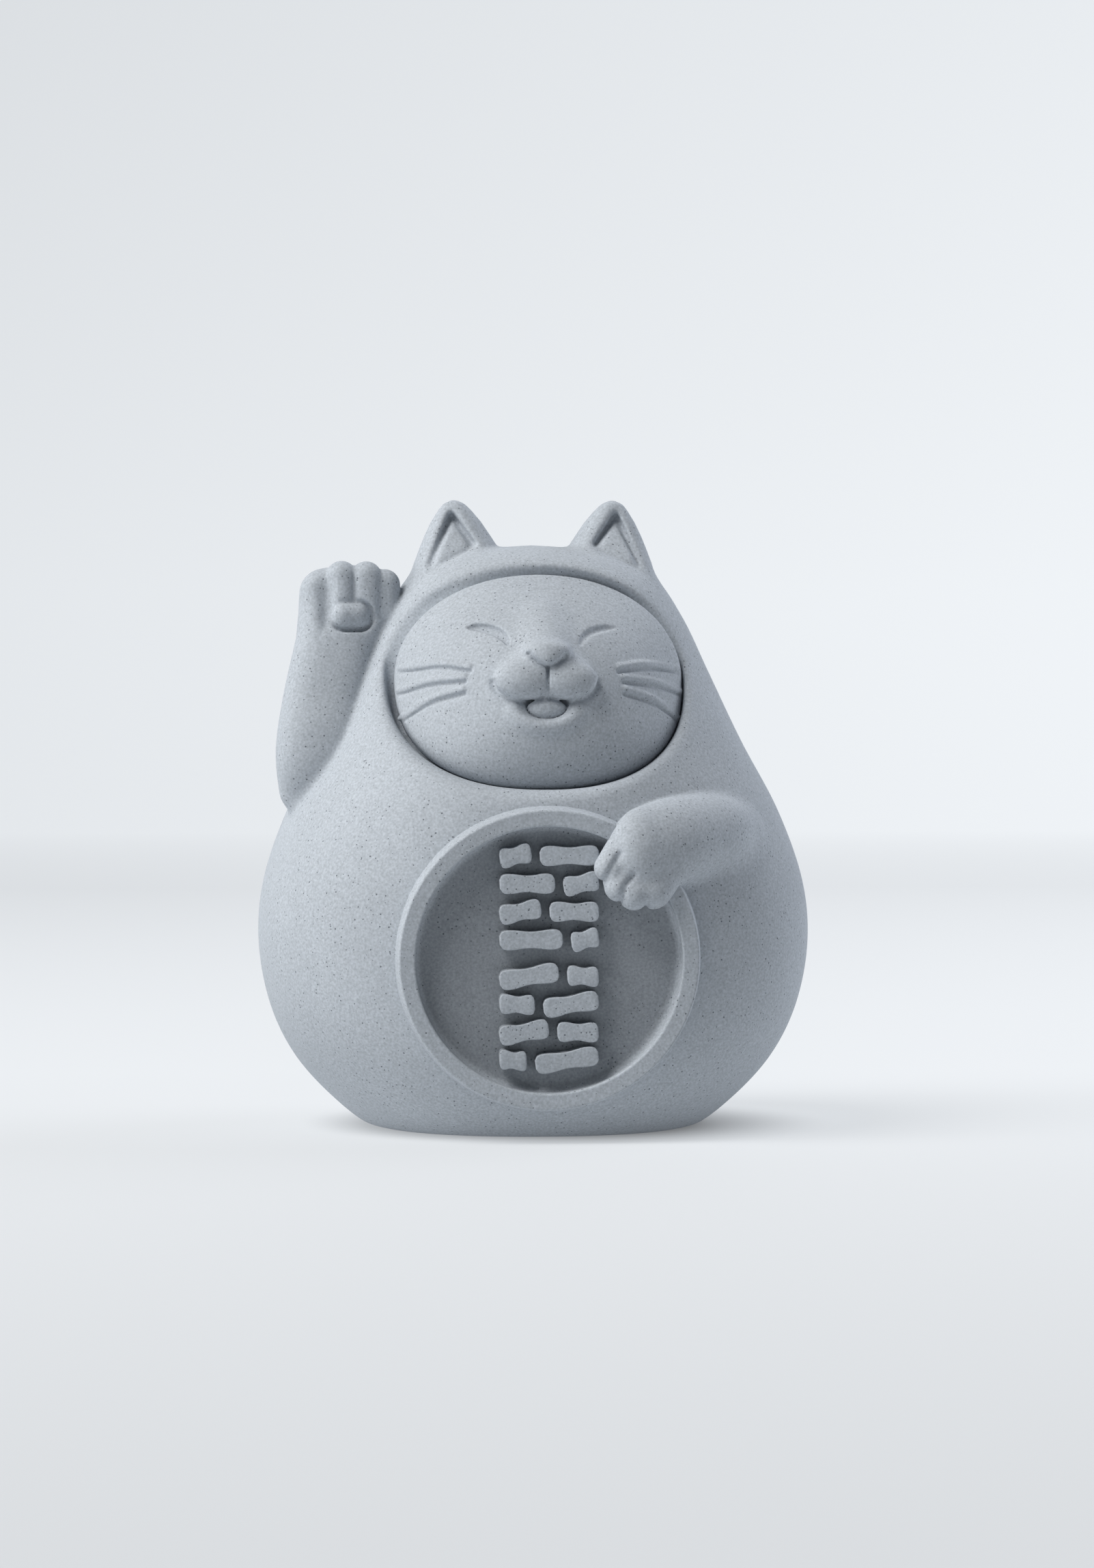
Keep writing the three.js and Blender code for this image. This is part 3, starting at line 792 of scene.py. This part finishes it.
def addHoldingArm(grid, s):
    window = windowOf(grid, *s["window"], armSpare)
    arm = blankLike(grid, window)
    addShape(arm, limb(s["stations"]), sharp)
    toes = blankLike(arm)
    for root, tip, radius in s["toes"]:
        ends = ((*root, radius, radius * s["toeRoot"]), (*tip, radius, radius))
        addShape(toes, limb(ends, steps=3), s["toeJoin"])
    joinField(arm, toes, s["toeBlend"])
    for line in s["creases"]:
        crease(arm, line, s["creaseDepth"], s["creaseWidth"])
    joinField(grid, arm, eased(arm["axes"][0], *s["blend"])[:, None, None], window)


# the coin's sizes stand here because the belly is hollowed out behind its dish

coin = {
    "x": 0.1,
    "z": 25.7,
    "y": -36.9,
    "tilt": 2.0,
    "radius": 20.95,
    "rimWidth": 2.35,
    "edge": 0.3,
    "innerEdge": 0.3,
    "flat": 0.08,  # the ring's flat starts this far past its rounded edges
    "draft": 0.14,
    "thickness": 9.0,
    "dishDepth": 2.9,
    "dishRound": 1.5,
    "steps": (16, 9, 6),  # points on the dish's ground, its bend and each rounded edge
    "sides": 220,
    "hollowInset": 0.9,  # the belly's hollow behind it: smaller by this
    "hollowDepth": 0.6,  # share of the coin's thickness
    "hollowEdge": 0.3,
    "hollowSpare": (9, 2),  # how far ahead and behind its field is worked out
}


def makeBody(s):
    grid = makeGrid(*s["grid"], s["cell"])
    x, y, z = pointsOf(grid)
    grid["field"] = levelled(bodyDistance(s, x, y, z), s["cell"])
    for side in (-1, 1):
        addShape(grid, ear(ears, side, s["cell"]), ears["blend"])
    cutShape(grid, hoodOpening(face, s["cell"]), lambda x, y, z: eased(x, *face["hoodRound"]))
    front = aheadOf(grid, ears["creaseFrom"])
    for side in (-1, 1):
        cutShape(grid, earTriangle(ears, side, "pocket", ears["pocketRim"], 0), ears["pocketEdge"])
        slab = [ears["cushion" + key] for key in ("Rise", "Drop", "Thick")]
        addShape(grid, earTriangle(ears, side, "cushion", 0, *slab), ears["cushionBlend"])
        crease(front, [(side * a, b) for a, b in ears["crease"]], *ears["creaseSize"])
    cutShape(grid, coinHollow(coin), coin["hollowEdge"])
    addRaisedArm(grid, raisedArm)
    addHoldingArm(grid, holdingArm)
    grid["field"] = blendMax(grid["field"], -z, s["footRound"])
    return thinned(fieldToMesh(grid, "cat_body"), s["mostTriangles"])


catBody = makeBody(body)
print("body, ears and arms modelled")


# what the face wears: nose, muzzle, closed eyes, mouth and whiskers

features = {
    "bridge": ((0.2, -30.1, 68.0, 2.4, 1.7), (0.1, -23.2, 73.0, 1.8, 0.9)),
    "bridgeBlend": 3.4,
    "lip": ((4.9, 60.1), (3.6, 59.1), (1.9, 58.4), (0.0, 58.15)),  # from its corner to its middle
    "lipRadius": (0.35, 0.7, 0.85, 0.9),
    "lipSink": 0.45,
    "lipBlend": 1.4,
    "mouth": ((-0.1, -33.2, 61.7), (4.6, 2.7, 2.8)),
    "mouthBlend": 0.4,
    "tongue": ((0.1, -30.9, 60.85), (2.75, 1.3, 1.75)),
    "tongueBlend": 0.1,
    "tongueMoat": (0.16, 0.3),  # its width, and how round its edge is
    "lobe": ((2.9, -30.8, 64.55), (4.5, 2.6, 2.95)),
    "lobeMeet": 0.3,
    "lobeBlend": (64.2, 69.5, 0.3, 2.6),  # crisp low down, soft high up
    "nose": (((0.2, -31.5, 68.15), (3.1, 1.95, 1.45), 20), ((0.2, -31.75, 67.4), (1.6, 1.6, 1.1), 0)),
    "noseMeet": 1.5,
    "noseBlend": (67.6, 69.8, 0.25, 2.6),
    "noseCrease": (
        (-2.4, 68.3), (-1.9, 67.7), (-1.0, 67.0), (0.2, 66.5), (1.4, 67.0), (2.2, 67.6), (2.7, 68.2)),
    "noseCreaseSize": (0.47, 0.34),  # depth and width
    "lobeCrease": (185, 300, 9),  # degrees round each lobe, and points
    "lobeCreaseSize": (0.4, 0.42),
    "philtrum": ((0.2, -32.0, 66.4), (0.2, -32.85, 64.4), (0.15, -32.2, 61.8)),
    "philtrumRadius": (0.24, 0.45),  # across, and in depth
    "philtrumBlend": 0.2,
    "eye": ((10.35, 72.1), (9.6, 72.15), (8.6, 72.05), (7.45, 71.8), (6.4, 71.3), (5.6, 70.6), (5.1, 69.7)),
    "eyeRadius": (0.18, 0.42, 0.55, 0.58, 0.55, 0.42, 0.2),
    "eyeSink": {-1: 0.32, 1: -0.05},  # on the cat's right and left
    "eyeWidth": {-1: 1.35, 1: 1.0},
    "eyeBlend": 0.35,
    "whiskers": (
        ((10.5, 66.5), (14.6, 67.0), (19.9, 66.4)), ((11.2, 65.05), (15.9, 64.5), (20.2, 63.2)),
        ((11.3, 63.4), (15.7, 62.0), (20.0, 59.2))),
    "whiskerRadius": (0.52, 0.5, 0.34),
    "whiskerSink": 0.24,
    "whiskerBlend": 0.35,
    "furrowDrop": 0.68,  # the thin furrow below each whisker
    "furrowRadius": (0.34, 0.26, 0.16),
    "furrowBlend": 0.3,
}


def onFace(points, radii, sink):
    placed = []
    for (x, z), radius in zip(points, radii):
        y = float(domeY(face, np.array(x, float), np.array(z, float)))
        placed.append((x, y + sink, z, radius, radius))
    return placed


def plainFace(s):
    grid = makeGrid(*s["grid"], s["cell"])
    x, y, z = pointsOf(grid)
    flatX, flatZ = x[:, 0, :], z[:, 0, :]
    front = domeY(s, flatX, flatZ)
    slopes = np.gradient(front, s["cell"])
    slant = np.sqrt(1 + slopes[0] ** 2 + slopes[1] ** 2)
    dome = (front[:, None, :] - y) / slant[:, None, :]
    wall = outlineGap(s, faceReach, flatX, flatZ, s["cell"])[:, None, :]
    back = (y - (rimY(s, z) + s["back"])) / s["backSlant"]
    grid["field"] = np.maximum(blendMax(dome, wall, s["rimRound"]), back).astype(np.float32)
    return grid


def addMuzzle(grid, f):
    z = pointsOf(grid)[2]
    addShape(grid, limb(f["bridge"], steps=3), f["bridgeBlend"])
    lip = [(-a, b) for a, b in f["lip"]] + [(a, b) for a, b in f["lip"][-2::-1]]
    lip = onFace(lip, f["lipRadius"] + f["lipRadius"][-2::-1], f["lipSink"])
    addShape(grid, limb(lip, steps=44), f["lipBlend"])
    cutShape(grid, ellipsoid(*f["mouth"]), f["mouthBlend"])
    (tongueAt, tongueHalf), (moat, moatEdge) = f["tongue"], f["tongueMoat"]
    cutShape(grid, ellipsoid(tongueAt, [h + moat for h in tongueHalf]), moatEdge)
    addShape(grid, ellipsoid(tongueAt, tongueHalf), f["tongueBlend"])
    (lobeX, lobeY, lobeZ), half = f["lobe"]
    lobes = [((side * lobeX, lobeY, lobeZ), half) for side in (-1, 1)]
    for parts, meet, blend in ((lobes, "lobeMeet", "lobeBlend"), (f["nose"], "noseMeet", "noseBlend")):
        swelling = blankLike(grid)
        for part in parts:
            addShape(swelling, ellipsoid(*part), f[meet])
        joinField(grid, swelling, eased(z, *f[blend]))
    crease(grid, f["noseCrease"], *f["noseCreaseSize"])
    turned = np.radians(np.linspace(*f["lobeCrease"]))
    for side in (-1, 1):
        edge = [(side * (half[0] * math.cos(a) - lobeX), lobeZ + half[2] * math.sin(a)) for a in turned]
        crease(grid, edge, *f["lobeCreaseSize"])
    philtrum = [(*place, *f["philtrumRadius"]) for place in f["philtrum"]]
    cutShape(grid, limb(philtrum, steps=10), f["philtrumBlend"])


def addEyesAndWhiskers(grid, f):
    for side in (-1, 1):
        radii = [r * f["eyeWidth"][side] for r in f["eyeRadius"]]
        eye = onFace([(side * a, b) for a, b in f["eye"]], radii, f["eyeSink"][side])
        cutShape(grid, limb(eye, steps=18), f["eyeBlend"])
        for line in f["whiskers"]:
            hair = onFace([(side * a, b) for a, b in line], f["whiskerRadius"], f["whiskerSink"])
            addShape(grid, limb(hair, steps=12), f["whiskerBlend"])
            furrow = onFace([(side * a, b - f["furrowDrop"]) for a, b in line], f["furrowRadius"], 0.0)
            cutShape(grid, limb(furrow, steps=12), f["furrowBlend"])


def makeFace(s, f):
    grid = plainFace(s)
    addMuzzle(grid, f)
    addEyesAndWhiskers(grid, f)
    return thinned(fieldToMesh(grid, "cat_face"), s["mostTriangles"])


catFace = makeFace(face, features)
print("face modelled")


# coin: a turned disc with a raised ring round a shallow dish

def quarter(points):  # sine and cosine over a quarter turn
    return [(math.sin(a), math.cos(a)) for a in np.linspace(0, math.pi / 2, points)]


def coinProfile(s):  # radius and depth, from the dish's middle out over the ring and round the back
    inner, depth, bend = s["radius"] - s["rimWidth"], s["dishDepth"], s["dishRound"]
    onGround, onBend, onEdge = s["steps"]
    innerEdge, edge = s["innerEdge"], s["edge"]
    points = [(r, depth) for r in np.linspace(0, inner - bend, onGround)]
    points += [(inner - bend + bend * u, depth - bend + bend * v) for u, v in quarter(onBend)[1:]]
    points += [(inner + innerEdge * (1 - v), innerEdge * (1 - u)) for u, v in quarter(onEdge)]
    points += [(inner + innerEdge + s["flat"], 0), (s["radius"] - edge - s["flat"], 0)]
    points += [(s["radius"] - edge * (1 - u), edge * (1 - v)) for u, v in quarter(onEdge)]
    points += [(s["radius"] + s["draft"] * s["thickness"], s["thickness"]), (0, s["thickness"])]
    return points


def newTree(name, inputs):
    tree = bpy.data.node_groups.new(name, "GeometryNodeTree")
    tree.interface.new_socket("Geometry", in_out="INPUT", socket_type="NodeSocketGeometry")
    tree.interface.new_socket("Geometry", in_out="OUTPUT", socket_type="NodeSocketGeometry")
    for label, kind in inputs:
        tree.interface.new_socket(label, in_out="INPUT", socket_type="NodeSocket" + kind)
    return tree, tree.nodes.new("NodeGroupInput"), tree.nodes.new("NodeGroupOutput")


def useTree(piece, tree, values):
    modifier = piece.modifiers.new(tree.name, "NODES")
    modifier.node_group = tree
    for item in tree.interface.items_tree:
        if item.item_type == "SOCKET" and item.in_out == "INPUT" and item.name in values:
            modifier[item.identifier] = values[item.name]


def lineObject(name, lines):  # open polylines as loose edges
    corners, edges = [], []
    for line in lines:
        edges += [(len(corners) + i, len(corners) + i + 1) for i in range(len(line) - 1)]
        corners += [tuple(c * mm for c in point) for point in line]
    mesh = bpy.data.meshes.new(name)
    mesh.from_pydata(corners, edges, [])
    return putInScene(name, mesh)


def finishTree(tree, source, result, made):  # real geometry, in its material
    real = wire(tree, "GeometryNodeRealizeInstances", {"Geometry": made})
    painted = wire(tree, "GeometryNodeSetMaterial", {
        "Geometry": real.outputs[0], "Material": source.outputs["Material"]})
    tree.links.new(painted.outputs[0], result.inputs[0])
    return tree


def turnedTree():  # sweeps the profile round the axis
    tree, source, result = newTree("turned", (("Sides", "Int"), ("Hub", "Float"), ("Material", "Material")))
    profile = wire(tree, "GeometryNodeMeshToCurve", {"Mesh": source.outputs["Geometry"]})
    hub = wire(tree, "GeometryNodeCurvePrimitiveCircle", {
        "Resolution": source.outputs["Sides"], "Radius": source.outputs["Hub"]})
    swept = wire(tree, "GeometryNodeCurveToMesh", {
        "Curve": hub.outputs[0], "Profile Curve": profile.outputs[0]})
    sealed = wire(tree, "GeometryNodeMergeByDistance", {"Geometry": swept.outputs[0], "Distance": tiny})
    return finishTree(tree, source, result, sealed.outputs[0])


def ontoBelly(piece, s):  # from flat on the ground, facing up, to its place on the belly
    tilt = math.radians(s["tilt"])
    co = np.empty(len(piece.data.vertices) * 3, np.float32)
    piece.data.vertices.foreach_get("co", co)
    x, up, front = co.reshape(-1, 3).T
    c, k = math.cos(tilt), math.sin(tilt)
    y, z = -front * c - up * k, up * c - front * k
    moved = np.stack([x + s["x"] * mm, y + s["y"] * mm, z + s["z"] * mm], 1)
    piece.data.vertices.foreach_set("co", moved.astype(np.float32).ravel())
    piece.data.update()
    return piece


def reworked(piece, change):  # changes a mesh by way of a bmesh
    made = bmesh.new()
    made.from_mesh(piece.data)
    change(made)
    made.to_mesh(piece.data)
    made.free()


def facesOut(made):
    bmesh.ops.remove_doubles(made, verts=made.verts, dist=tiny)
    bmesh.ops.recalc_face_normals(made, faces=made.faces)
    for side in made.faces:
        side.smooth = True


def facesUp(made):
    for side in made.faces:
        if side.normal.z < 0:
            side.normal_flip()


def makeCoin(s):
    hub = 1.0
    piece = lineObject("coin", [[(r - hub, behind, 0) for r, behind in coinProfile(s)]])
    useTree(piece, turnedTree(), {"Sides": s["sides"], "Hub": hub * mm, "Material": castCement})
    applied(piece)
    reworked(piece, facesOut)
    return ontoBelly(piece, s)


catCoin = makeCoin(coin)
print("coin turned", len(catCoin.data.polygons), "faces")


# two blocks of raised strokes in the dish, in even rows

strokes = {
    "blockTops": (15.9, -0.9),
    "rowPitch": 3.9,
    "blockWidth": 13.8,
    "halfHeight": 1.38,
    "gap": 1.2,
    "splits": (0.36, 0.6, 0.46, 0.68),
    "slant": 0.09,
    "bend": 0.25,
    "rise": 2.4,
    "sunk": 0.8,
    "edge": 0.26,
    "edgeAngle": 50,  # degrees past which an edge is rounded
    "edgeSteps": 3,
    "linePoints": 7,
    "steps": 26,
    "fullness": (  # share of the half height, along the stroke
        (0.025, 0.72), (0.07, 0.93), (0.14, 1.0), (0.5, 0.82), (0.86, 1.0), (0.93, 0.93), (0.975, 0.72)),
    "endFullness": 0.42,
}


def strokeLines(s):
    lines = []
    for block, top in enumerate(s["blockTops"]):
        for row, split in enumerate(s["splits"]):
            z = top - s["halfHeight"] - row * s["rowPitch"]
            left, right = -s["blockWidth"] / 2, s["blockWidth"] / 2
            cut = left + s["blockWidth"] * (1 - split if block else split)
            bend = -s["bend"] if row % 2 else s["bend"]
            for a, b, bow in ((left, cut - s["gap"] / 2, bend), (cut + s["gap"] / 2, right, -bend)):
                shares = np.linspace(-0.5, 0.5, s["linePoints"])
                lines.append([(
                    (a + b) / 2 + t * (b - a),
                    z + t * (b - a) * s["slant"] + bow * math.sin(t * math.pi), 0) for t in shares])
    return lines


def strokeTree(s):  # a flat ribbon along each line, fuller towards its ends
    inputs = (("Half height", "Float"), ("Steps", "Int"), ("Material", "Material"))
    tree, source, result = newTree("strokes", inputs)
    curve = wire(tree, "GeometryNodeMeshToCurve", {"Mesh": source.outputs["Geometry"]})
    even = wire(tree, "GeometryNodeResampleCurve", {
        "Curve": curve.outputs[0], "Count": source.outputs["Steps"]})
    share = wire(tree, "GeometryNodeSplineParameter")
    fullness = wire(tree, "ShaderNodeFloatCurve", {"Value": share.outputs["Factor"]})
    shape = fullness.mapping.curves[0]
    for at, value in s["fullness"]:
        shape.points.new(at, value)
    shape.points[0].location = (0, s["endFullness"])
    shape.points[-1].location = (1, s["endFullness"])
    fullness.mapping.update()
    size = product(tree, fullness.outputs[0], source.outputs["Half height"])
    wide = wire(tree, "GeometryNodeSetCurveRadius", {"Curve": even.outputs[0], "Radius": size})
    across = wire(tree, "GeometryNodeCurvePrimitiveLine", {"Start": (-1, 0, 0), "End": (1, 0, 0)})
    ribbon = wire(tree, "GeometryNodeCurveToMesh", {
        "Curve": wide.outputs[0], "Profile Curve": across.outputs[0]})
    if "Scale" in ribbon.inputs:  # where the profile doesn't follow the radius by itself
        radius = wire(tree, "GeometryNodeInputRadius")
        tree.links.new(radius.outputs[0], ribbon.inputs["Scale"])
    return finishTree(tree, source, result, ribbon.outputs[0])


def makeStrokes(s, c):
    piece = lineObject("strokes", strokeLines(s))
    useTree(piece, strokeTree(s), {
        "Half height": s["halfHeight"] * mm, "Steps": s["steps"], "Material": castCement})
    applied(piece)
    reworked(piece, facesUp)
    wall = piece.modifiers.new("wall", "SOLIDIFY")
    wall.thickness = (s["rise"] + s["sunk"]) * mm
    wall.offset = 1
    edge = piece.modifiers.new("edge", "BEVEL")
    edge.width = s["edge"] * mm
    edge.segments = s["edgeSteps"]
    edge.limit_method = "ANGLE"
    edge.angle_limit = math.radians(s["edgeAngle"])
    even = piece.modifiers.new("even", "WEIGHTED_NORMAL")
    even.keep_sharp = False
    shadeSmooth(piece.data)
    applied(piece)
    piece.data.transform(Matrix.Translation((0, 0, -(c["dishDepth"] + s["sunk"]) * mm)))
    return ontoBelly(piece, c)


catStrokes = makeStrokes(strokes, coin)
print("strokes laid", len(catStrokes.data.polygons), "faces")


# floor, backdrop and light

stage = {
    "paper": (0.18, 0.184, 0.188),
    "roughness": 0.8,
    "gloss": 0.2,
    "glowColour": (0.815, 0.845, 0.875),
    "glow": (  # of floor and backdrop: two depths in metres, and the share at each
        (-0.4, 0.1, 0.56, 0.74), (0.25, 0.9, 1, 0.96), (0.9, 2.0, 1, 1.3)),
    "glowTilt": 0.21,  # more to the right, per metre
    "glowDrop": 0.22,  # less higher up, per metre
    "shade": ((0.005, 0, 0), 0.014, 0.04, 0.2),  # painted shadow under the cat, where the glow dims, metres: middle, radii, and the share left
    "halfWidth": 3000.0,
    "near": -3000.0,
    "bendStart": 1600.0,
    "bendRadius": 700.0,
    "bendSteps": 17,
    "wall": 2500.0,
}

lights = {  # place, target, size, power, colour
    "left": ((-620, -330, 980), (0, 0, 45), 700, 13.8, (1.0, 0.99, 0.975)),
    "low": ((-900, -150, 230), (0, 0, 35), 500, 3.3, (1.0, 0.99, 0.975)),
    "behind": ((850, 380, 600), (0, 0, 45), 900, 7.5, (0.90, 0.93, 1.0)),
}
air = {"colour": (0.84, 0.90, 1.0), "strength": 0.06}


def makePaper(s):
    paper = bpy.data.materials.new("paper")
    paper.use_nodes = True
    tree = paper.node_tree
    where = tree.nodes.new("ShaderNodeTexCoord").outputs["Object"]
    place = wire(tree, "ShaderNodeSeparateXYZ", {0: where}).outputs
    middle, inner, outer, left = s["shade"]
    gap = wire(tree, "ShaderNodeVectorMath", {0: where, 1: middle}, {"operation": "DISTANCE"})
    shares = [ranged(tree, place["Y"], *numbers) for numbers in s["glow"]]
    shares.append(ranged(tree, place["X"], -1, 1, 1 - s["glowTilt"], 1 + s["glowTilt"]))
    shares.append(ranged(tree, place["Z"], 0, 1, 1, 1 - s["glowDrop"]))
    # painted shadow: the glow is dimmed round the cat's base
    shares.append(ranged(tree, gap.outputs["Value"], inner, outer, left, 1, True))
    skin = tree.nodes["Principled BSDF"].inputs
    skin["Base Color"].default_value = (*s["paper"], 1)
    skin["Roughness"].default_value = s["roughness"]
    skin["Specular IOR Level"].default_value = s["gloss"]
    skin["Emission Color"].default_value = (*s["glowColour"], 1)
    tree.links.new(product(tree, *shares), skin["Emission Strength"])
    return paper


def makeStage(s):
    start, radius = s["bendStart"], s["bendRadius"]
    profile = [(s["near"], 0.0), (start, 0.0)]
    profile += [(start + radius * u, radius * (1 - v)) for u, v in quarter(s["bendSteps"])[1:]]
    profile.append((start + radius, s["wall"]))
    corners = [(side * s["halfWidth"] * mm, y * mm, z * mm) for y, z in profile for side in (-1, 1)]
    faces = [(2 * i, 2 * i + 1, 2 * i + 3, 2 * i + 2) for i in range(len(profile) - 1)]
    mesh = bpy.data.meshes.new("floor")
    mesh.from_pydata(corners, [], faces)
    mesh.materials.append(makePaper(s))
    shadeSmooth(mesh)
    floor = putInScene("floor", mesh)
    floor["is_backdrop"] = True


def makeLight(name, place, target, size, power, colour):
    data = bpy.data.lights.new(name, "AREA")
    data.shape = "DISK"
    data.size = size * mm
    data.energy = power
    data.color = colour
    light = putInScene(name, data)
    light.location = [c * mm for c in place]
    light.rotation_euler = (Vector(target) - Vector(place)).to_track_quat("-Z", "Y").to_euler()


def makeAir(s):
    world = bpy.data.worlds.new("studio")
    world.use_nodes = True
    ground = world.node_tree.nodes["Background"]
    ground.inputs[0].default_value = (*s["colour"], 1)
    ground.inputs[1].default_value = s["strength"]
    scene.world = world


makeStage(stage)
makeAir(air)
for lamp, values in lights.items():
    makeLight(lamp, *values)
scene.view_settings.view_transform = "Standard"
print("studio set")


# the finished cat rides on the part's one body

for piece in (catBody, catFace, catCoin, catStrokes):
    if not piece.data.materials:
        piece.data.materials.append(castCement)
    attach(piece, "root")
    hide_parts("lucky_cat")

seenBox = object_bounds()
for end, name in enumerate(("lowest", "highest")):
    part, looks = ([round(c / mm, 2) for c in box[end]] for box in (cadBox, seenBox))
    print(name, "corner, mm: part", part, "looks", looks)
